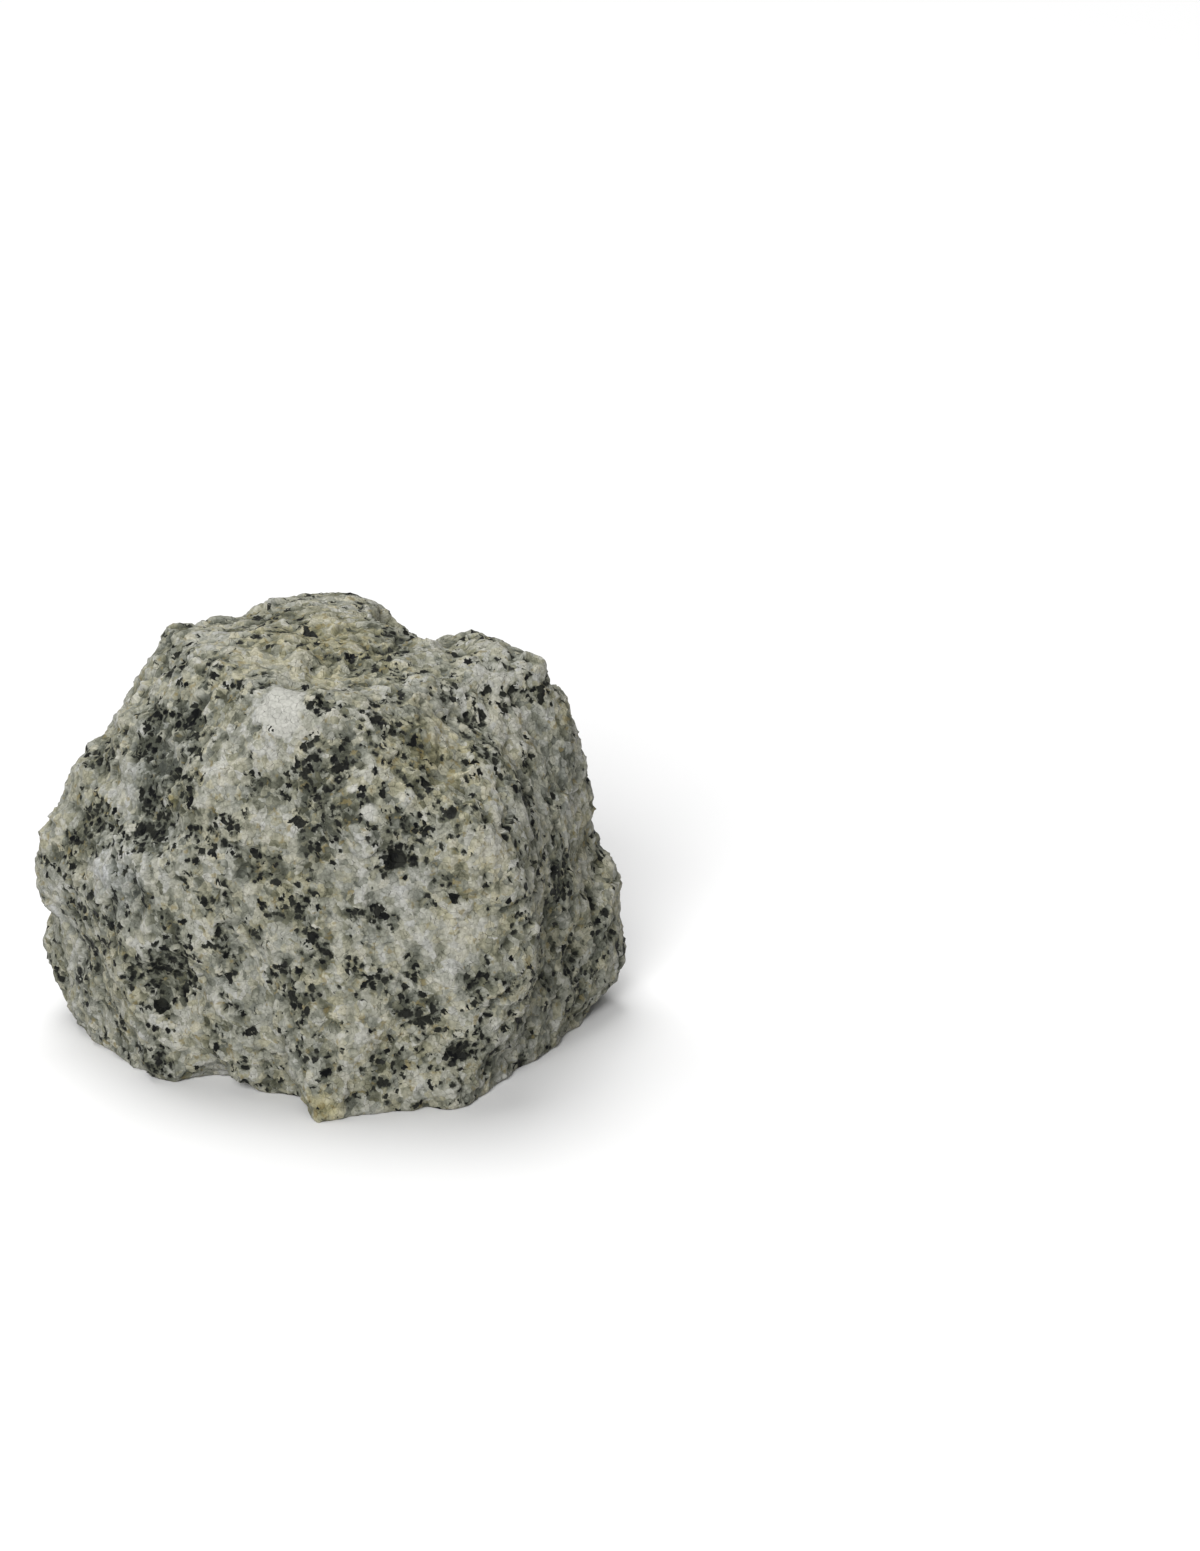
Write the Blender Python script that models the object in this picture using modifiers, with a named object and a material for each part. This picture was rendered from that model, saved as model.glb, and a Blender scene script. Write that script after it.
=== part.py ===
"""A rough granite rock: one broken lump of quarry stone, modelled as the single solid that it is.

The rock rests on its underside. Its longest way across runs along X, the side that faces a viewer is -Y,
+Z is up, and the origin is the middle of its bounding box on the surface that it lies on.
Sizes here are millimetres; the last step turns them into Blender's metres.
"""

import math

import bmesh
import bpy
from mathutils import Matrix, Vector, noise

METRES_PER_MM = 0.001

# The corners where the fracture faces of the main block meet.
MAIN_BLOCK = {
    "top left": (-38, 14, 81),
    "left shoulder": (-37, 5, 77),
    "top front left": (-24, -10, 84),
    "top front": (-11, -26, 84),
    "top front right": (3, -23, 84),
    "top middle right": (19, -12, 82),
    "top right": (42, 5, 78),
    "top back right": (22, 26, 75),
    "top back middle": (9, 37, 81),
    "top back ridge": (1, 41, 83),
    "top back": (-9, 44, 81),
    "top back left": (-22, 38, 79.5),
    "left high": (-44.5, 3, 65),
    "left upper": (-57.5, 2, 52.5),
    "left point up": (-62.5, 1, 44),
    "left point": (-64, 2, 37),
    "left lower": (-61, 3, 29),
    "left base": (-57, 5, 10),
    "left front bulge": (-38, -29, 48),
    "left front lower": (-44, -24, 24),
    "left front foot": (-36, -27, -2),
    "left foot": (-46, -13, -2),
    "front foot": (-8, -34, -2),
    "front foot right": (26, -37, -2),
    "front brow": (8, -38, 66),
    "front brow right": (27, -34, 62),
    "front belly": (4, -42, 30),
    "front belly right": (24, -40, 28),
    "right front edge high": (36, -31, 48),
    "right front edge middle": (38, -31, 32),
    "right front edge low": (36, -30, 15),
    "front right foot": (36.5, -26, -6),
    "right brow": (47, 5, 67),
    "right high": (49, 12, 57),
    "right middle": (53, 13, 42),
    "right swell": (56, 12, 18),
    "right foot": (49, 3, -2),
    "back right high": (37, 32, 58),
    "back right low": (47, 32, 22),
    "back right foot": (30, 24, -2),
    "back foot": (-10, 28, -2),
    "back left foot": (-34, 20, -2),
    "back low": (-16, 47, 19),
    "back left low": (-50, 28, 24),
    "back left high": (-42, 27, 61),
    "back bulge": (6, 51, 50),
}

# The low lobe that swells out under the left point.
LEFT_LOBE = {
    "crest front": (-61, 3, 20),
    "crest middle": (-57, 14, 31),
    "crest back": (-51, 27, 32),
    "belly front": (-64, 8, 15),
    "belly back": (-58, 24, 15),
    "belly low": (-62, 5, 9),
    "foot corner": (-59.5, 3, 6),
    "foot corner front": (-49.5, -7, 2),
    "foot front": (-42, -22, -1),
    "foot left": (-56, 1, -1),
    "foot back": (-48, 20, 4),
    "root front": (-34, -20, 20),
    "root back": (-34, 26, 40),
    "root low": (-20, 10, 2),
}

# The haunch that swells out low on the right.
RIGHT_HAUNCH = {
    "crest": (55, 14, 37.5),
    "crest back": (49, 29, 37),
    "belly high": (57, 15, 25),
    "belly": (57.5, 14, 14),
    "belly low": (57.5, 13, 5),
    "front high": (42, -20, 34),
    "front": (43, -20, 18),
    "front low": (40, -20, 3),
    "foot right": (52, 6, -1),
    "foot back": (46, 24, 1),
    "root back": (20, 24, 30),
    "root low": (16, 0, 2),
}

# The toe that reaches forward on the ground.
TOE = {
    "tip": (-4, -46, -2),
    "tip right": (2, -42, -2),
    "left": (-9, -39, 4),
    "left high": (-13, -37, 22),
    "crest": (-6, -40.5, 32),
    "crest right": (12, -41, 34),
    "right": (18, -37, -2),
    "root left": (-10, -26, 24),
    "root right": (16, -26, 24),
    "root low": (2, -20, -2),
}

# The knob on the right end of the top.
TOP_KNOB = {
    "front": (25, -7, 82.5),
    "crown": (31, 5, 84),
    "back": (24, 20, 80),
    "right": (43, 4, 80),
    "right front": (36, -5, 78),
    "root front": (24, -12, 60),
    "root back": (20, 20, 60),
    "root right": (44, 6, 60),
}

BLOCKS = {
    "main block": MAIN_BLOCK,
    "left lobe": LEFT_LOBE,
    "right haunch": RIGHT_HAUNCH,
    "toe": TOE,
    "top knob": TOP_KNOB,
}

# Hollows that chips left, as balls taken out of the blocks: centre, and radius.
HOLLOWS = {
    "arch behind the left foot": ((-25, -33, -6), 11),
    "arch beside the right foot": ((31, -42, -8), 11),
    "spall on the left face": ((-56, -40, 72), 32),
    "hollow on the left front": ((-20, -66, 30), 28),
    "chip below the top": ((0, -45, 79), 15),
    "chip high on the front": ((-12, -49, 53), 14),
    "chip low on the front": ((-5, -52, 36), 14),
    "chip low on the left front": ((-39, -41, 20), 16),
    "chip low on the right front": ((23, -51, 13), 13),
    "chip beside the right front edge": ((59, -24, 28), 20),
    "chip below the right brow": ((26, -40, 81), 18),
    "chip high on the back": ((-14, 64, 64), 18),
    "chip below the top left": ((-55.5, 6.5, 76.5), 16),
    "nick below the left point": ((-68, 7.5, 23.5), 8.5),
    "dip between the ridge and the knob": ((18.5, 27.5, 90.5), 15.5),
    "spall on the back right": ((52, 64, 70), 36),
    "spall on the back left": ((-42, 66, 52), 30),
    "spall low on the back": ((14, 66, 4), 30),
    "hollow underneath": ((0, -2, -75), 80),
}

# The blocks are joined, remeshed this finely, worn by smoothing, roughened, and thinned to this many faces.
VOXEL = 1.2
EDGE_WEAR_STEPS = 3
TRIANGLES = 8000

# The broken surface's relief: how wide its forms are, and how high they stand or how steeply they lean.
SWELL_WIDTH = 28.0
SWELL_HEIGHT = 1.2
LUMP_WIDTH = 6.0
LUMP_HEIGHT = 0.55
BIG_FACET_WIDTH = 22.0
BIG_FACET_SLOPE = 0.34
SMALL_FACET_WIDTH = 9.0
SMALL_FACET_SLOPE = 0.34
SMALL_FACET_SHIFT = Vector((40, 0, 0))
FACET_SHARPNESS = 14.0
LEAN_SPREAD = 7.3
MIDDLE_OF_CELL_VECTOR = Vector((0.5, 0.5, 0.5))

FLOOR_CUTTER = 300.0

GRANITE_COLOUR = (0.205, 0.21, 0.165, 1)
GRANITE_ROUGHNESS = 0.85


def clear_scene():
    for thing in list(bpy.data.objects):
        bpy.data.objects.remove(thing)


def collection(name, hidden=False):
    made = bpy.data.collections.new(name)
    made.hide_render = hidden
    bpy.context.scene.collection.children.link(made)
    return made


def add_object(name, shape, place):
    """A new object from a bmesh, which is used up."""
    mesh = bpy.data.meshes.new(name)
    shape.to_mesh(mesh)
    shape.free()
    made = bpy.data.objects.new(name, mesh)
    place.objects.link(made)
    return made


def block(name, corners, place):
    """A closed convex block through named corners."""
    shape = bmesh.new()
    for corner in corners.values():
        shape.verts.new(corner)
    made = bmesh.ops.convex_hull(shape, input=shape.verts)
    bmesh.ops.delete(shape, geom=made["geom_interior"], context="VERTS")
    bmesh.ops.recalc_face_normals(shape, faces=shape.faces)
    return add_object(name, shape, place)


def ball(name, centre, radius, place):
    shape = bmesh.new()
    bmesh.ops.create_icosphere(shape, subdivisions=4, radius=radius, matrix=Matrix.Translation(centre))
    return add_object(name, shape, place)


def floor_cutter(place):
    """A large box whose top is the surface that the rock lies on."""
    shape = bmesh.new()
    middle = Matrix.Translation((0, 0, -FLOOR_CUTTER / 2))
    bmesh.ops.create_cube(shape, size=FLOOR_CUTTER, matrix=middle)
    return add_object("floor cutter", shape, place)


def settle(thing):
    """Puts the result of the object's modifiers in its mesh."""
    graph = bpy.context.evaluated_depsgraph_get()
    mesh = bpy.data.meshes.new_from_object(thing.evaluated_get(graph))
    thing.modifiers.clear()
    thing.data = mesh


def combine(thing, other, operation):
    """A Boolean with another object, which is used up."""
    step = thing.modifiers.new(operation, "BOOLEAN")
    step.operation = operation
    step.solver = "EXACT"
    step.object = other
    settle(thing)
    bpy.data.objects.remove(other)


def remesh(thing):
    """An even mesh, with its edges worn."""
    step = thing.modifiers.new("even mesh", "REMESH")
    step.mode = "VOXEL"
    step.voxel_size = VOXEL
    wear = thing.modifiers.new("worn edges", "SMOOTH")
    wear.iterations = EDGE_WEAR_STEPS
    settle(thing)


def facets(point, width, slope):
    """Relief of broken faces about this wide: each leans its own way, and neighbours run together."""
    distances, centres = noise.voronoi(point / width)
    total = 0.0
    height = 0.0
    for distance, centre in zip(distances, centres):
        weight = math.exp(-FACET_SHARPNESS * (distance - distances[0]))
        lean = noise.cell_vector(centre * LEAN_SPREAD) - MIDDLE_OF_CELL_VECTOR
        height += weight * (point - centre * width).dot(lean) * slope
        total += weight
    return height / total


def relief(point):
    """How far the broken surface stands out from the worn blocks at a point."""
    swell = SWELL_HEIGHT * noise.fractal(point / SWELL_WIDTH, 1.0, 2.0, 2)
    lumps = LUMP_HEIGHT * noise.noise(point / LUMP_WIDTH)
    big_facets = facets(point, BIG_FACET_WIDTH, BIG_FACET_SLOPE)
    small_facets = facets(point + SMALL_FACET_SHIFT, SMALL_FACET_WIDTH, SMALL_FACET_SLOPE)
    return swell + lumps + big_facets + small_facets


def roughen(thing):
    """Moves each point along its normal by the relief there."""
    mesh = thing.data
    normals = [vertex.normal.copy() for vertex in mesh.vertices]
    for vertex, normal in zip(mesh.vertices, normals):
        vertex.co += normal * relief(vertex.co)
    mesh.update()


def thin_out(thing):
    """Fewer triangles, kept where the shape needs them."""
    step = thing.modifiers.new("fewer faces", "DECIMATE")
    thing.data.calc_loop_triangles()
    step.ratio = TRIANGLES / len(thing.data.loop_triangles)
    step.use_collapse_triangulate = True
    settle(thing)


def centre(thing):
    """Puts the middle of the bounding box, on the floor, at the origin."""
    points = [vertex.co for vertex in thing.data.vertices]
    low = Vector(map(min, zip(*points)))
    high = Vector(map(max, zip(*points)))
    middle = (low + high) / 2
    thing.data.transform(Matrix.Translation((-middle.x, -middle.y, -low.z)))


def granite():
    material = bpy.data.materials.new("granite")
    material.use_nodes = True
    shader = material.node_tree.nodes["Principled BSDF"]
    shader.inputs["Base Color"].default_value = GRANITE_COLOUR
    shader.inputs["Roughness"].default_value = GRANITE_ROUGHNESS
    shader.inputs["Metallic"].default_value = 0.0
    material.diffuse_color = GRANITE_COLOUR
    return material


def main():
    clear_scene()
    stones = collection("rough rock")
    cutters = collection("cutters", hidden=True)
    made = [block(name, corners, stones) for name, corners in BLOCKS.items()]
    rock = made[0]
    for other in made[1:]:
        combine(rock, other, "UNION")
    for name, (middle, radius) in HOLLOWS.items():
        combine(rock, ball(name, middle, radius, cutters), "DIFFERENCE")
    remesh(rock)
    roughen(rock)
    thin_out(rock)
    combine(rock, floor_cutter(cutters), "DIFFERENCE")
    centre(rock)
    rock.data.transform(Matrix.Scale(METRES_PER_MM, 4))
    rock.name = "rock"
    rock.data.materials.clear()
    rock.data.materials.append(granite())


main()
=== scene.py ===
"""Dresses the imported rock: the fine relief of its broken surface, its minerals, a floor, light and a camera.

Lengths are metres, apart from those whose names end in _MM. A name that ends in _DETAIL holds the detail and
roughness of a noise. The minerals are worked out in millimetres, from the place that each point of the
surface had before the fine relief moved it.
"""

import math

import bpy
import numpy as np
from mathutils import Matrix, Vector, noise
from mathutils.bvhtree import BVHTree


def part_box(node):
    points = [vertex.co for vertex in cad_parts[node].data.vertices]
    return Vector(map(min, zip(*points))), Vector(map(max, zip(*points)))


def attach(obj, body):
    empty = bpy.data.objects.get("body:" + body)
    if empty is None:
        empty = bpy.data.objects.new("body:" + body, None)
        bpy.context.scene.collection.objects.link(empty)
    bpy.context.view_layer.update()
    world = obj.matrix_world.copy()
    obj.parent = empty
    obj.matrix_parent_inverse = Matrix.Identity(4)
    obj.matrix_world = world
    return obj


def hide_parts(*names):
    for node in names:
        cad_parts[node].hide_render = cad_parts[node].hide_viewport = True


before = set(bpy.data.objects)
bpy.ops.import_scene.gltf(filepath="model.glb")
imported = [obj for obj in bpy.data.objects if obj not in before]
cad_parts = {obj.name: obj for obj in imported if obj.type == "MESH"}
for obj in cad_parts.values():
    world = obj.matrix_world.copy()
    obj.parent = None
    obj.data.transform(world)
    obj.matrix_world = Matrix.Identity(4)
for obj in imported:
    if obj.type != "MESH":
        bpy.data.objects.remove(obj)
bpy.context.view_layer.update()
rock_low, rock_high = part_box("rock")

MM = 0.001

# The photograph's view: its size, the angle it looks down at, and the toe's tip in it and on the rock.
IMAGE_WIDTH = 1200
IMAGE_HEIGHT = 1551
VIEW_ELEVATION = math.radians(22)
VIEW_DISTANCE = 0.9
PIXELS_PER_METRE = 5000
SENSOR_MM = 36.0
TOE_PIXEL = (325, 1120)
TOE_FROM_BOX_MIDDLE = 0.85 * MM
TOE_BEHIND_BOX_FRONT = 1.7 * MM

FOCAL_PIXELS = PIXELS_PER_METRE * VIEW_DISTANCE
FORWARD = Vector((0, math.cos(VIEW_ELEVATION), -math.sin(VIEW_ELEVATION)))
RIGHT = Vector((1, 0, 0))
UP = RIGHT.cross(FORWARD)

# The even mesh that takes the fine relief.
FINE_VOXEL = 0.74 * MM
FACE_SMOOTHING_STEPS = 6

# The rock's grain: the way that crumbs, ledges and dark streaks run, and the share that places are drawn
# together by along it before they are worked out, which draws them out.
GRAIN_DIRECTION = (0.45, 0.2, -0.87)
GRAIN_STRETCH = 0.65

# Fine relief: soft crumbs, ledges, chips and crystals that lean their own ways, and mica a little sunk.
# It fades out this far above the ground, where the rock rests. Steps is how widely hollows are felt.
CRUMB_WIDTH_MM = 3.0
CRUMB_HEIGHT_MM = 0.6
CRUMB_DETAIL = {"detail": 3.0, "roughness": 0.6}
LEDGE_WIDTH_MM = 3.2
LEDGE_HEIGHT_MM = 1.3
LEDGE_DETAIL = {"detail": 1.0}
CHIP_WIDTH_MM = 4.4
CHIP_SLOPE = 0.4
CRYSTAL_WIDTH_MM = 2.0
CRYSTAL_SLOPE = 0.35
CRYSTAL_SHIFT_MM = (17.0, 5.0, 9.0)
FACE_BLEND = 0.12
MICA_DEPTH_MM = 0.2
REST_HEIGHT_MM = 1.2
HOLLOW_STEPS = 8

# The finest relief, which only bends the light: roughness, grains that stand a little proud, and faces.
FINE_BUMP_MM = 0.2
FINE_DETAIL = {"detail": 3.0, "roughness": 0.65}
GRAIN_BUMP_MM = 0.12
SPARK_WIDTH_MM = 1.1
SPARK_SLOPE = 0.5

# Widths of the mineral grains and of the patterns that they form, in millimetres.
WARP_WIDTH_MM = 1.6
WARP_REACH_MM = 0.9
GRAIN_WIDTH_MM = 1.7
FLAKE_WIDTH_MM = 1.45
LARGE_FLAKE_WIDTH_MM = 2.5
LARGE_FLAKE_SHIFT_MM = (11.0, 23.0, 5.0)
SPECKLE_WIDTH_MM = 0.7
SPECKLE_DETAIL = {"detail": 2.0, "roughness": 0.6}
BROAD_WIDTH_MM = 9.0
BROAD_DETAIL = {"detail": 0.0}
MOTTLE_WIDTH_MM = 4.5
MOTTLE_DETAIL = {"detail": 3.0, "roughness": 0.8}
SPOT_WIDTH_MM = 1.7
SPOT_SHIFT_MM = (31.0, 7.0, 13.0)

# A flake's shape: the way that more of them point, how far each is drawn out, its smallest half width and how
# much that varies, and how ragged its rim is. Its half width and its rim are shares of the cell's width.
FOLIATION = (0.13, 0.0, -0.2)
FLAKE_STRETCH = 0.9
FLAKE_SMALLEST = 0.22
FLAKE_SPREAD = 0.36
RIM_WIDTH = 0.45
RIM_REACH = 0.7
RIM_DETAIL = {"detail": 1.0}

# How far inside a flake's outline its black begins and is full, and then its dark surroundings.
BLACK_MM = (-0.16, 0.17)
DARK_RIM_MM = (-0.75, 0.05)

# How many of the cells hold a flake, how far a painted share of 1 and a darker ground raise that, how many of
# those hold a large flake, and how far a painted share darkens the ground. From the first of the last two
# values to the second, a painted share fills the place with mica.
MICA_SHARE = 0.15
MICA_GAIN = 0.5
DARK_GAIN = 1.0
LARGE_FLAKE_SHARE = 0.3
CLUSTER_DARKENING = 0.1
SOLID_MICA = (2.6, 3.2)

# How far the grains, the broad patches, the mottling, what is painted pale or dark (the stone's own pale
# patches, with painted light on the lit facet and painted shade on the right side), and the painted light on
# what stands out and painted shade in hollows each lighten or darken the stone, and the tone that they vary
# around.
KIND_SHARE = 0.55
BROAD_SHARE = 0.8
MOTTLE_SHARE = 1.4
PALE_AND_PAINTED_LIGHT_AND_SHADE_SHARE = 0.25
PAINTED_RELIEF_LIGHT_AND_SHADE_SHARE = 0.55
MIDDLE_TONE = 0.565

# The ground of quartz and feldspar from the darkest tone to the palest, the speckle that multiplies it, and
# the stain from the coldest to the warmest.
GROUND_COLOURS = [
    (0.05, (0.06, 0.063, 0.048)),
    (0.25, (0.115, 0.118, 0.092)),
    (0.45, (0.185, 0.188, 0.15)),
    (0.6, (0.245, 0.245, 0.2)),
    (0.8, (0.3, 0.298, 0.248)),
    (1.0, (0.365, 0.36, 0.315)),
]
SPECKLE_COLOURS = [(0.0, (0.6, 0.6, 0.57)), (1.0, (1.3, 1.3, 1.3))]
SPECKLE_REACH = (0.32, 0.68)
SPECKLE_SHARE = 0.42
STAIN_COLOURS = [(0.0, (0.96, 0.99, 1.12)), (0.45, (1.0, 1.0, 1.0)), (1.0, (1.06, 0.98, 0.70))]
STAIN_REACH = (-1.5, 1.8)

# Rusty spots: their colour, how much of it shows, how warmth adds to them, and where they begin and are full.
RUST_COLOUR = (0.19, 0.155, 0.07, 1)
RUST_SHARE = 0.65
RUST_WARMTH = 0.07
RUST_REACH = (0.62, 0.72)

WHITE_FELDSPAR_COLOURS = ((0.36, 0.36, 0.325, 1), (0.435, 0.432, 0.395, 1))
FELDSPAR_REACH = (0.25, 0.75)
DARK_RIM_COLOUR = (0.07, 0.074, 0.055, 1)
DARK_RIM_SHARE = 0.75
MICA_COLOURS = ((0.003, 0.0035, 0.004, 1), (0.02, 0.021, 0.017, 1))
GROUND_ROUGHNESS = 0.85
MICA_ROUGHNESS = 0.5
GRANITE_SPECULAR = 0.08

# What the seen side shows, each named: the pixel of the photograph where its middle is, its radius in
# millimetres, and its strength. A negative strength takes away.
MICA_MARKS = {
    "top left corner": ((172, 644), 1.8, 0.8),
    "upper left": ((155, 716), 2.8, 2.2),
    "upper left below": ((146, 748), 3.2, 2.3),
    "upper left inside": ((196, 724), 3.0, 2.0),
    "upper left inside below": ((192, 752), 3.2, 2.3),
    "upper left low": ((170, 782), 3.0, 1.5),
    "left edge high": ((97, 752), 1.8, 1.2),
    "left edge": ((70, 842), 2.6, 1.0),
    "left edge blue": ((98, 812), 3.2, 1.6),
    "left streaks": ((156, 822), 4.2, 1.8),
    "left middle": ((190, 784), 3.2, 1.3),
    "left low middle": ((134, 848), 2.2, 0.9),
    "left point": ((66, 874), 2.8, 1.0),
    "left point below": ((84, 914), 2.2, 0.9),
    "lower left": ((150, 966), 3.8, 1.8),
    "lower left below": ((156, 1006), 3.8, 1.8),
    "lower left right": ((192, 980), 2.2, 1.0),
    "left foot": ((162, 1058), 1.8, 0.8),
    "right of the pale patch": ((322, 704), 2.4, 2.4),
    "below the pale patch": ((317, 755), 3.8, 2.6),
    "below the pale patch right": ((340, 764), 2.6, 0.8),
    "speck": ((378, 719), 1.6, 4.4),
    "top right": ((448, 686), 2.0, 0.9),
    "top right below": ((472, 718), 2.4, 0.8),
    "long grain": ((405, 822), 1.3, 3.6),
    "long grain right": ((415, 828), 1.3, 3.2),
    "beside the round grain": ((364, 838), 1.9, 1.2),
    "round grain": ((394, 861), 3.2, 5.5),
    "band top": ((262, 862), 3.2, 1.2),
    "band middle": ((290, 900), 3.4, 1.3),
    "band low": ((312, 955), 2.4, 0.9),
    "band left": ((204, 898), 2.4, 0.8),
    "facet upper": ((462, 862), 1.3, 1.2),
    "facet middle": ((460, 898), 1.5, 1.1),
    "facet left": ((376, 926), 1.6, 1.0),
    "facet low": ((412, 955), 1.5, 1.0),
    "low middle": ((368, 986), 2.3, 1.2),
    "low left": ((300, 1006), 2.0, 1.0),
    "low right": ((424, 1018), 3.4, 2.6),
    "low right below": ((464, 1050), 3.0, 2.0),
    "bottom": ((396, 1066), 1.9, 1.2),
    "edge low": ((514, 985), 2.4, 1.3),
    "edge low right": ((544, 982), 2.2, 1.3),
    "edge upper": ((536, 854), 2.2, 1.1),
    "edge high": ((506, 798), 2.0, 1.0),
    "right foot": ((520, 1062), 1.4, 1.2),
    # More mica here paints shade on the side that faces away from the light.
    "right side": ((552, 900), 8.0, 0.6),
    "right side far": ((596, 930), 6.0, 0.6),
    "pale patch": ((276, 696), 5.0, -2.0),
    "below the pale patch left": ((272, 762), 3.2, -1.4),
    "quiet left": ((130, 898), 4.0, -0.9),
    "quiet facet top": ((492, 850), 4.4, -1.6),
    "quiet facet": ((450, 932), 6.0, -1.4),
    "quiet right": ((548, 762), 5.0, -0.9),
    "quiet middle": ((400, 795), 4.0, -0.8),
    "quiet below the round grain": ((350, 880), 4.0, -0.6),
    "pale knob": ((368, 814), 2.0, -1.5),
    "quiet bottom": ((276, 1042), 4.0, -0.6),
}
FELDSPAR_MARKS = {
    "pale patch": ((277, 699), 4.9, 1.6),
    "pale patch low": ((287, 722), 3.0, 0.9),
    "knob": ((368, 814), 1.9, 1.2),
    "below the round grain": ((352, 790), 1.0, 0.9),
    "facet top": ((488, 838), 1.6, 0.8),
    "left": ((60, 820), 1.2, 0.8),
    "low middle": ((340, 1036), 1.6, 0.8),
}
# Pale stone, and also painted light and shade: the lit facet and its rim are painted paler, and the shaded
# right side darker.
PALE_AND_PAINTED_LIGHT_AND_SHADE_MARKS = {
    "ridge below the pale patch": ((252, 762), 3.2, 1.7),
    "below the pale patch": ((282, 768), 3.0, 1.0),
    # Painted light on the facet that faces the light, and along its rim.
    "facet top": ((490, 850), 5.0, 1.6),
    "facet": ((450, 930), 7.5, 1.8),
    "below the facet": ((470, 1005), 5.0, 0.8),
    "facet left": ((400, 900), 4.0, 0.6),
    "facet rim high": ((503, 830), 1.8, 1.2),
    "facet rim": ((516, 872), 1.8, 1.2),
    "facet rim low": ((525, 915), 1.8, 1.0),
    "left": ((134, 898), 5.4, -0.8),
    "top edge": ((500, 700), 9.0, 1.3),
    "bottom": ((420, 1080), 5.0, 1.0),
    "upper left": ((170, 750), 9.0, -1.7),
    "left edge": ((76, 830), 5.0, -0.8),
    "middle": ((300, 850), 6.0, -0.5),
    # Painted shade on the side that faces away from the light.
    "right side": ((560, 900), 9.0, -1.2),
    "right side high": ((570, 780), 7.0, -0.5),
}
WARM_MARKS = {
    "top": ((330, 640), 16.0, 0.8),
    "upper right": ((430, 760), 12.0, 0.6),
    "toe": ((322, 1108), 3.0, 1.6),
    "rust": ((174, 800), 1.4, 2.2),
    "band": ((290, 880), 6.0, 0.6),
    "left": ((120, 880), 9.0, -1.0),
    "upper left": ((150, 760), 9.0, -0.7),
    "pale patch": ((276, 694), 5.0, -0.7),
    "facet": ((455, 915), 8.0, 0.3),
}

LEDGE_MARKS = {
    "right of the facet": ((532, 862), 5.0, 1.0),
    "right of the facet below": ((550, 925), 6.0, 1.0),
    "low right": ((500, 1010), 6.0, 0.9),
    "low middle": ((330, 1040), 5.0, 0.7),
    "left edge": ((74, 880), 5.0, 0.9),
    "left edge low": ((90, 960), 5.0, 0.9),
    "upper right": ((545, 770), 6.0, 0.6),
}

# What is painted on the rock: the marks, and the noise that gathers it everywhere, by width and strength.
PAINTED = {
    "mica": (MICA_MARKS, 9.0, 0.8),
    "feldspar": (FELDSPAR_MARKS, 6.0, 0.12),
    # This holds the stone's pale patches and also painted light and painted shade.
    "pale": (PALE_AND_PAINTED_LIGHT_AND_SHADE_MARKS, 12.0, 0.4),
    "warm": (WARM_MARKS, 16.0, 0.35),
    "ledges": (LEDGE_MARKS, 14.0, 0.3),
}

# The wobble of what is painted, and its noise's octaves, how fast they fade and how much finer each is.
PAINT_WOBBLE_WIDTH_MM = 3.0
PAINT_WOBBLE_MM = 1.2
PAINT_OCTAVES = 2
PAINT_SMOOTHNESS = 1.0
PAINT_GAP = 2.0

# The floor, and the even light from all round.
FLOOR_SIZE = 12.0
FLOOR_COLOUR = (0.75, 0.75, 0.75, 1)
FLOOR_ROUGHNESS = 0.9
FLOOR_SPECULAR = 0.1
SURROUNDINGS_COLOUR = (1, 1, 1, 1)
SURROUNDINGS_STRENGTH = 0.2

# Each light: its direction and distance from the rock's middle in degrees and metres, its width in metres and
# its power in watts. Azimuth 0 is the viewer's side, and 90 the right.
LIGHTS = {
    "front light": {"azimuth": -14, "elevation": 34, "distance": 7.0, "size": 2.8, "power": 470},
    "top light": {"azimuth": -150, "elevation": 70, "distance": 7.0, "size": 4.2, "power": 425},
}


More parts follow.
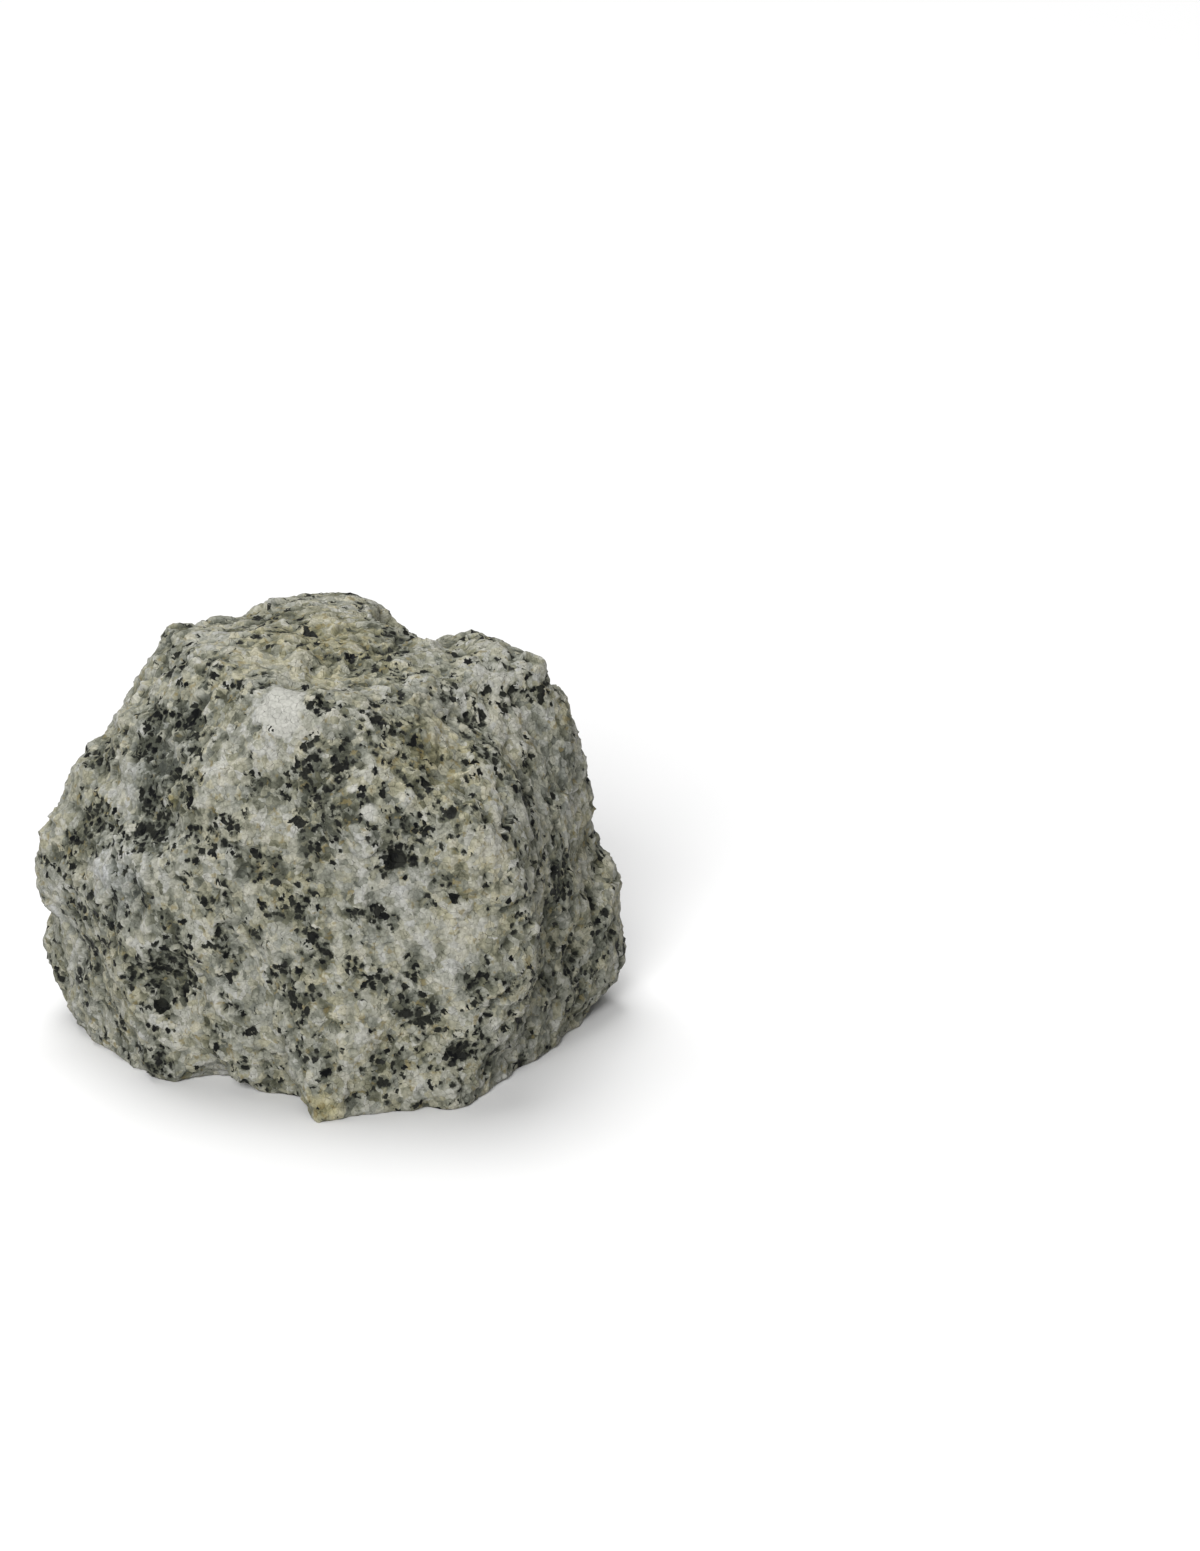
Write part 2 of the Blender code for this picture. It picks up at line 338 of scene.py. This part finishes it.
class Nodes:
    """Makes nodes in one tree. A value that is a socket is linked, and any other is set."""

    def __init__(self, tree):
        self.tree = tree

    def add(self, kind, values=None, **settings):
        node = self.tree.nodes.new(kind)
        for name, value in settings.items():
            setattr(node, name, value)
        for name, value in (values or {}).items():
            self.put(node.inputs[name], value)
        return node

    def put(self, target, value):
        if isinstance(value, bpy.types.NodeSocket):
            self.tree.links.new(value, target)
        else:
            target.default_value = value

    def math(self, operation, first, second=0.0):
        return self.add("ShaderNodeMath", {0: first, 1: second}, operation=operation).outputs[0]

    def vector(self, operation, first, second=(0.0, 0.0, 0.0)):
        return self.add("ShaderNodeVectorMath", {0: first, 1: second}, operation=operation).outputs[0]

    def dot(self, first, second):
        node = self.add("ShaderNodeVectorMath", {0: first, 1: second}, operation="DOT_PRODUCT")
        return node.outputs["Value"]

    def times(self, vector, number):
        node = self.add("ShaderNodeVectorMath", {0: vector, "Scale": number}, operation="SCALE")
        return node.outputs[0]

    def parts(self, vector):
        return self.add("ShaderNodeSeparateXYZ", {0: vector}).outputs

    def centred(self, value, share):
        """A value from 0 to 1, moved to lie around 0 and scaled."""
        return self.math("MULTIPLY", self.math("SUBTRACT", value, 0.5), share)

    def centred_vector(self, vector, share):
        """A vector whose parts are from 0 to 1, moved to lie around 0 and scaled."""
        return self.times(self.vector("SUBTRACT", vector, (0.5, 0.5, 0.5)), share)

    def step(self, value, reach):
        """0 below the reach, 1 above it, and smooth between."""
        names = {"Value": value, "From Min": reach[0], "From Max": reach[1]}
        return self.add("ShaderNodeMapRange", names, interpolation_type="SMOOTHSTEP").outputs["Result"]

    def noise(self, place, width, detail=2.0, roughness=0.5):
        names = {"Vector": place, "Scale": 1 / width, "Detail": detail, "Roughness": roughness}
        return self.add("ShaderNodeTexNoise", names)

    def cells(self, place, width):
        return self.add("ShaderNodeTexVoronoi", {"Vector": place, "Scale": 1 / width})

    def mix(self, share, first, second, blend="MIX"):
        values = {0: share, 6: first, 7: second}
        return self.add("ShaderNodeMix", values, data_type="RGBA", blend_type=blend).outputs[2]

    def ramp(self, value, stops):
        """A colour for the value, from (position, colour) pairs."""
        node = self.add("ShaderNodeValToRGB", {0: value})
        elements = node.color_ramp.elements
        while len(elements) < len(stops):
            elements.new(1.0)
        for element, (position, colour) in zip(elements, stops):
            element.position = position
            element.color = (*colour, 1)
        return node.outputs[0]


def along_grain(nodes, place):
    """The place, drawn together along the grain, so that what is worked out there is drawn out along it."""
    along = nodes.math("MULTIPLY", nodes.dot(place, GRAIN_DIRECTION), GRAIN_STRETCH)
    return nodes.vector("SUBTRACT", place, nodes.times(GRAIN_DIRECTION, along))


def flakes(nodes, place, width, share):
    """Mica flakes about this wide, one at most in each cell: how deep inside one the place is, in
    millimetres, and a number from 0 to 1 of the flake's own. Share is how many of the cells hold one."""
    rim = nodes.noise(place, width * RIM_WIDTH, **RIM_DETAIL).outputs["Color"]
    ragged = nodes.vector("ADD", place, nodes.centred_vector(rim, width * RIM_REACH))
    cells = nodes.cells(ragged, width).outputs
    luck = nodes.parts(cells["Color"])
    turn = nodes.add("ShaderNodeTexWhiteNoise", {"Vector": cells["Color"]}).outputs["Color"]
    turn = nodes.vector("ADD", nodes.centred_vector(turn, 1.0), FOLIATION)
    turn = nodes.vector("NORMALIZE", turn)
    from_middle = nodes.vector("SUBTRACT", ragged, cells["Position"])
    along = nodes.dot(from_middle, turn)
    around = nodes.math("MULTIPLY", nodes.math("MULTIPLY", along, along), FLAKE_STRETCH)
    around = nodes.math("SUBTRACT", nodes.dot(from_middle, from_middle), around)
    reach = nodes.math("SQRT", nodes.math("MAXIMUM", around, 0.0))
    spread = nodes.math("MULTIPLY", luck[1], FLAKE_SPREAD * width)
    inside = nodes.math("SUBTRACT", nodes.math("ADD", spread, FLAKE_SMALLEST * width), reach)
    absent = nodes.math("GREATER_THAN", luck[0], share)
    return nodes.math("SUBTRACT", inside, nodes.math("MULTIPLY", absent, width)), luck[2]


def minerals(nodes, place, mica_share):
    """The granite at a place in millimetres: which mineral is there, as sockets that both trees can make."""
    wobble = nodes.noise(place, WARP_WIDTH_MM).outputs["Color"]
    warped = nodes.vector("ADD", place, nodes.centred_vector(wobble, WARP_REACH_MM * 2))
    kinds = nodes.parts(nodes.cells(warped, GRAIN_WIDTH_MM).outputs["Color"])
    broad = nodes.noise(place, BROAD_WIDTH_MM, **BROAD_DETAIL).outputs[0]
    mottle = nodes.noise(along_grain(nodes, place), MOTTLE_WIDTH_MM, **MOTTLE_DETAIL).outputs[0]
    tone = nodes.math("ADD", nodes.centred(broad, BROAD_SHARE), nodes.centred(mottle, MOTTLE_SHARE))
    share = nodes.math("ADD", nodes.math("MULTIPLY", mica_share, MICA_GAIN), MICA_SHARE)
    share = nodes.math("SUBTRACT", share, nodes.math("MULTIPLY", tone, DARK_GAIN))
    small, small_luck = flakes(nodes, place, FLAKE_WIDTH_MM, share)
    large_share = nodes.math("MULTIPLY", share, LARGE_FLAKE_SHARE)
    shifted = nodes.vector("ADD", place, LARGE_FLAKE_SHIFT_MM)
    large, _ = flakes(nodes, shifted, LARGE_FLAKE_WIDTH_MM, large_share)
    depth = nodes.math("MAXIMUM", small, large)
    tone = nodes.math("ADD", tone, nodes.centred(kinds[0], KIND_SHARE))
    tone = nodes.math("SUBTRACT", tone, nodes.math("MULTIPLY", mica_share, CLUSTER_DARKENING))
    solid = nodes.step(mica_share, SOLID_MICA)
    return {
        "tone": tone,
        "height": kinds[1],
        "tint": kinds[2],
        "luck": small_luck,
        "mica": nodes.math("MAXIMUM", nodes.step(depth, BLACK_MM), solid),
        "near mica": nodes.step(depth, DARK_RIM_MM),
    }


def leaning_faces(nodes, place, width, slope):
    """The height of small broken faces about this wide, each leaning its own way, blended together."""
    values = {"Vector": place, "Scale": 1 / width, "Smoothness": FACE_BLEND}
    faces = nodes.add("ShaderNodeTexVoronoi", values, feature="SMOOTH_F1").outputs
    from_middle = nodes.vector("SUBTRACT", place, faces["Position"])
    return nodes.dot(from_middle, nodes.centred_vector(faces["Color"], slope))


def settle(thing):
    """Puts the result of the object's modifiers in its mesh."""
    graph = bpy.context.evaluated_depsgraph_get()
    mesh = bpy.data.meshes.new_from_object(thing.evaluated_get(graph))
    thing.modifiers.clear()
    thing.data = mesh


def ray_to(pixel):
    """From the camera through a pixel of the photograph, one metre deep along the view."""
    across = (pixel[0] - IMAGE_WIDTH / 2) / FOCAL_PIXELS
    above = (IMAGE_HEIGHT / 2 - pixel[1]) / FOCAL_PIXELS
    return FORWARD + RIGHT * across + UP * above


def camera_place():
    """Where the camera stands, so that the toe's tip is at its pixel."""
    toe_x = (rock_low.x + rock_high.x) / 2 + TOE_FROM_BOX_MIDDLE
    toe = Vector((toe_x, rock_low.y + TOE_BEHIND_BOX_FRONT, rock_low.z))
    return toe - ray_to(TOE_PIXEL) * VIEW_DISTANCE


def on_rock(pixel, solid):
    """The place on the rock, in millimetres, that the photograph shows at a pixel."""
    place, _, _, _ = solid.ray_cast(camera_place(), ray_to(pixel).normalized())
    if place is None:
        raise ValueError(f"no rock at pixel {pixel}")
    return np.array(place) / MM


def fine_copy(node):
    """The node's shape on an even fine mesh, with the solid's flat triangles smoothed away."""
    thing = bpy.data.objects.new("rock_surface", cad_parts[node].data.copy())
    bpy.context.scene.collection.objects.link(thing)
    even = thing.modifiers.new("even mesh", "REMESH")
    even.mode = "VOXEL"
    even.voxel_size = FINE_VOXEL
    worn = thing.modifiers.new("no flat triangles", "SMOOTH")
    worn.iterations = FACE_SMOOTHING_STEPS
    settle(thing)
    return thing


def places_of(mesh):
    """The mesh's points, in millimetres."""
    places = np.empty(len(mesh.vertices) * 3)
    mesh.vertices.foreach_get("co", places)
    return places.reshape(-1, 3) / MM


def normals_of(mesh):
    normals = np.empty(len(mesh.vertices) * 3, np.float32)
    mesh.vertex_normals.foreach_get("vector", normals)
    return normals.reshape(-1, 3)


def store(mesh, name, values):
    """Keeps a number for each of the mesh's points."""
    mesh.attributes.new(name, "FLOAT", "POINT").data.foreach_set("value", values)


def wobble_at(places):
    """A vector of noise for each of the places."""
    scaled = [Vector(place) for place in places / PAINT_WOBBLE_WIDTH_MM]
    return np.array([noise.turbulence_vector(place, PAINT_OCTAVES, False) for place in scaled])


def noise_at(places, width):
    """Noise around 0, about this wide, for each of the places."""
    scaled = [Vector(place) for place in places / width]
    return np.array([noise.fractal(place, PAINT_SMOOTHNESS, PAINT_GAP, PAINT_OCTAVES) for place in scaled])


def paint(mesh):
    """Stores what is painted. The places are wobbled first, so that the patches have uneven rims."""
    solid = BVHTree.FromObject(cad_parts["rock"], bpy.context.evaluated_depsgraph_get())
    places = places_of(mesh)
    places += PAINT_WOBBLE_MM * wobble_at(places)
    for name, (marks, width, strength) in PAINTED.items():
        values = strength * noise_at(places, width)
        for pixel, radius, added in marks.values():
            gaps = np.linalg.norm(places - on_rock(pixel, solid), axis=1) / radius
            values += added * np.exp(-gaps * gaps)
        store(mesh, name, values)


def stored(nodes, name):
    """What is painted under this name, for the relief."""
    values = {"Name": name}
    return nodes.add("GeometryNodeInputNamedAttribute", values, data_type="FLOAT").outputs[0]


def fine_height(nodes, place):
    """How far the fine relief stands out at a place, in millimetres."""
    stone = minerals(nodes, place, stored(nodes, "mica"))
    streaked = along_grain(nodes, place)
    crumbs = nodes.noise(streaked, CRUMB_WIDTH_MM, **CRUMB_DETAIL).outputs[0]
    crumbs = nodes.centred(crumbs, CRUMB_HEIGHT_MM * 2)
    ledges = nodes.noise(streaked, LEDGE_WIDTH_MM, **LEDGE_DETAIL).outputs[0]
    ledges = nodes.math("MULTIPLY", nodes.centred(ledges, LEDGE_HEIGHT_MM * 2), stored(nodes, "ledges"))
    chips = leaning_faces(nodes, place, CHIP_WIDTH_MM, CHIP_SLOPE)
    shifted = nodes.vector("ADD", place, CRYSTAL_SHIFT_MM)
    crystals = leaning_faces(nodes, shifted, CRYSTAL_WIDTH_MM, CRYSTAL_SLOPE)
    sunk = nodes.math("MULTIPLY", stone["mica"], -MICA_DEPTH_MM)
    height = nodes.math("ADD", nodes.math("ADD", crumbs, ledges), nodes.math("ADD", chips, crystals))
    height = nodes.math("ADD", height, sunk)
    above_ground = nodes.step(nodes.parts(place)[2], (0.0, REST_HEIGHT_MM))
    return nodes.math("MULTIPLY", height, above_ground)


def relief_tree():
    """Geometry nodes that keep each point's place as "rest" and move it out by the fine relief."""
    tree = bpy.data.node_groups.new("fine relief", "GeometryNodeTree")
    tree.interface.new_socket("Geometry", in_out="INPUT", socket_type="NodeSocketGeometry")
    tree.interface.new_socket("Geometry", in_out="OUTPUT", socket_type="NodeSocketGeometry")
    nodes = Nodes(tree)
    start = nodes.add("NodeGroupInput")
    end = nodes.add("NodeGroupOutput")
    position = nodes.add("GeometryNodeInputPosition").outputs[0]
    height = fine_height(nodes, nodes.times(position, 1 / MM))
    normal = nodes.add("GeometryNodeInputNormal").outputs[0]
    values = {"Geometry": start.outputs[0], "Name": "rest", "Value": position}
    kept = nodes.add("GeometryNodeStoreNamedAttribute", values, data_type="FLOAT_VECTOR", domain="POINT")
    offset = nodes.times(normal, nodes.math("MULTIPLY", height, MM))
    moved = nodes.add("GeometryNodeSetPosition", {"Geometry": kept.outputs[0], "Offset": offset})
    tree.links.new(moved.outputs[0], end.inputs[0])
    return tree


def roughen(thing):
    step = thing.modifiers.new("fine relief", "NODES")
    step.node_group = relief_tree()
    settle(thing)
    thing.data.polygons.foreach_set("use_smooth", [True] * len(thing.data.polygons))


def mark_hollows(mesh):
    """Stores how far, in millimetres, each point stands out from what is around it, below 0 in a hollow. The
    material uses it for painted light on what stands out and painted shade in the hollows.
    """
    count = len(mesh.vertices)
    ends = np.empty(len(mesh.edges) * 2, np.int64)
    mesh.edges.foreach_get("vertices", ends)
    first, second = ends.reshape(-1, 2).T
    here = np.concatenate([first, second])
    there = np.concatenate([second, first])
    neighbours = np.bincount(here, minlength=count)
    places = places_of(mesh)
    around = places
    for _ in range(HOLLOW_STEPS):
        sums = [np.bincount(here, weights=around[there, axis], minlength=count) for axis in range(3)]
        around = np.array(sums).T / neighbours[:, None]
    store(mesh, "stands", ((places - around) * normals_of(mesh)).sum(axis=1))


def painted(nodes, name):
    """What is painted under this name, for the material."""
    return nodes.add("ShaderNodeAttribute", attribute_name=name).outputs["Fac"]


def ground_colour(nodes, stone, speckle):
    """Quartz and feldspar grains with a fine speckle and what is painted pale or dark, made paler with painted
    light where they stand out and darker with painted shade in hollows.
    """
    # What is painted pale or dark: pale stone, with painted light on the lit facet and painted shade on the
    # right side.
    pale = nodes.math("MULTIPLY", painted(nodes, "pale"), PALE_AND_PAINTED_LIGHT_AND_SHADE_SHARE)
    # Painted light on the points that stand out and painted shade in the hollows.
    stands = nodes.math("MULTIPLY", painted(nodes, "stands"), PAINTED_RELIEF_LIGHT_AND_SHADE_SHARE)
    tone = nodes.math("ADD", nodes.math("ADD", stone["tone"], nodes.math("ADD", pale, stands)), MIDDLE_TONE)
    light_and_dark = nodes.ramp(nodes.step(speckle, SPECKLE_REACH), SPECKLE_COLOURS)
    return nodes.mix(SPECKLE_SHARE, nodes.ramp(tone, GROUND_COLOURS), light_and_dark, "MULTIPLY")


def stained(nodes, place, colour, stone):
    """The colour with its broad cold and warm stains, and rusty spots."""
    warmth = nodes.math("ADD", painted(nodes, "warm"), nodes.math("SUBTRACT", stone["tint"], 0.5))
    tint = nodes.ramp(nodes.step(warmth, STAIN_REACH), STAIN_COLOURS)
    colour = nodes.mix(1.0, colour, tint, "MULTIPLY")
    spots = nodes.noise(nodes.vector("ADD", place, SPOT_SHIFT_MM), SPOT_WIDTH_MM).outputs[0]
    spots = nodes.math("ADD", spots, nodes.math("MULTIPLY", warmth, RUST_WARMTH))
    share = nodes.math("MULTIPLY", nodes.step(spots, RUST_REACH), RUST_SHARE)
    return nodes.mix(share, colour, RUST_COLOUR)


def granite_colour(nodes, place, stone):
    """Feldspar and quartz in pale greys and buff, stained in places, with black mica between them."""
    speckle = nodes.noise(place, SPECKLE_WIDTH_MM, **SPECKLE_DETAIL).outputs[0]
    colour = stained(nodes, place, ground_colour(nodes, stone, speckle), stone)
    colour = nodes.mix(nodes.math("MULTIPLY", stone["near mica"], DARK_RIM_SHARE), colour, DARK_RIM_COLOUR)
    white = nodes.mix(nodes.step(speckle, SPECKLE_REACH), *WHITE_FELDSPAR_COLOURS)
    colour = nodes.mix(nodes.step(painted(nodes, "feldspar"), FELDSPAR_REACH), colour, white)
    black = nodes.mix(stone["luck"], *MICA_COLOURS)
    return nodes.mix(stone["mica"], colour, black)


def granite_bump(nodes, place, stone):
    fine = nodes.noise(place, SPECKLE_WIDTH_MM, **FINE_DETAIL).outputs[0]
    grains = nodes.centred(stone["height"], GRAIN_BUMP_MM)
    sparks = leaning_faces(nodes, place, SPARK_WIDTH_MM, SPARK_SLOPE)
    height = nodes.math("ADD", nodes.math("ADD", nodes.centred(fine, FINE_BUMP_MM), grains), sparks)
    return nodes.add("ShaderNodeBump", {"Height": height, "Strength": 1.0, "Distance": MM}).outputs[0]


def granite():
    material = bpy.data.materials.new("granite")
    material.use_nodes = True
    nodes = Nodes(material.node_tree)
    shader = material.node_tree.nodes["Principled BSDF"]
    rest = nodes.add("ShaderNodeAttribute", attribute_name="rest").outputs["Vector"]
    place = nodes.times(rest, 1 / MM)
    stone = minerals(nodes, place, painted(nodes, "mica"))
    smoother = nodes.math("MULTIPLY", stone["mica"], GROUND_ROUGHNESS - MICA_ROUGHNESS)
    nodes.put(shader.inputs["Base Color"], granite_colour(nodes, place, stone))
    nodes.put(shader.inputs["Roughness"], nodes.math("SUBTRACT", GROUND_ROUGHNESS, smoother))
    nodes.put(shader.inputs["Normal"], granite_bump(nodes, place, stone))
    shader.inputs["Specular IOR Level"].default_value = GRANITE_SPECULAR
    return material


def rock():
    thing = fine_copy("rock")
    paint(thing.data)
    roughen(thing)
    mark_hollows(thing.data)
    thing.data.materials.clear()
    thing.data.materials.append(granite())
    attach(thing, "root")
    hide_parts("rock")


def camera():
    """A camera that frames the rock as the photograph does."""
    data = bpy.data.cameras.new("camera")
    data.sensor_width = SENSOR_MM
    data.lens = FOCAL_PIXELS * SENSOR_MM / IMAGE_HEIGHT
    thing = bpy.data.objects.new("camera", data)
    thing.location = camera_place()
    thing.rotation_mode = "QUATERNION"
    thing.rotation_quaternion = FORWARD.to_track_quat("-Z", "Y")
    bpy.context.scene.collection.objects.link(thing)
    bpy.context.scene.camera = thing


def floor():
    mesh = bpy.data.meshes.new("floor")
    half = FLOOR_SIZE / 2
    corners = [(-half, -half, 0), (half, -half, 0), (half, half, 0), (-half, half, 0)]
    mesh.from_pydata(corners, [], [(0, 1, 2, 3)])
    thing = bpy.data.objects.new("floor", mesh)
    thing.location.z = rock_low.z
    bpy.context.scene.collection.objects.link(thing)
    material = bpy.data.materials.new("pale floor")
    material.use_nodes = True
    shader = material.node_tree.nodes["Principled BSDF"]
    shader.inputs["Base Color"].default_value = FLOOR_COLOUR
    shader.inputs["Roughness"].default_value = FLOOR_ROUGHNESS
    shader.inputs["Specular IOR Level"].default_value = FLOOR_SPECULAR
    mesh.materials.append(material)


def area_light(name, azimuth, elevation, distance, size, power):
    """A square soft light that looks at the rock's middle."""
    around = math.radians(azimuth)
    above = math.radians(elevation)
    level = math.cos(above)
    back = Vector((math.sin(around) * level, -math.cos(around) * level, math.sin(above)))
    data = bpy.data.lights.new(name, "AREA")
    data.size = size
    data.energy = power
    thing = bpy.data.objects.new(name, data)
    thing.location = (rock_low + rock_high) / 2 + back * distance
    thing.rotation_mode = "QUATERNION"
    thing.rotation_quaternion = (-back).to_track_quat("-Z", "Y")
    bpy.context.scene.collection.objects.link(thing)


def surroundings():
    """A weak even light from all round, and plain tones."""
    world = bpy.data.worlds.new("pale surroundings")
    world.use_nodes = True
    background = world.node_tree.nodes["Background"]
    background.inputs["Color"].default_value = SURROUNDINGS_COLOUR
    background.inputs["Strength"].default_value = SURROUNDINGS_STRENGTH
    bpy.context.scene.world = world
    bpy.context.scene.view_settings.view_transform = "Standard"


camera()
floor()
for light_name, light in LIGHTS.items():
    area_light(light_name, **light)
surroundings()
rock()
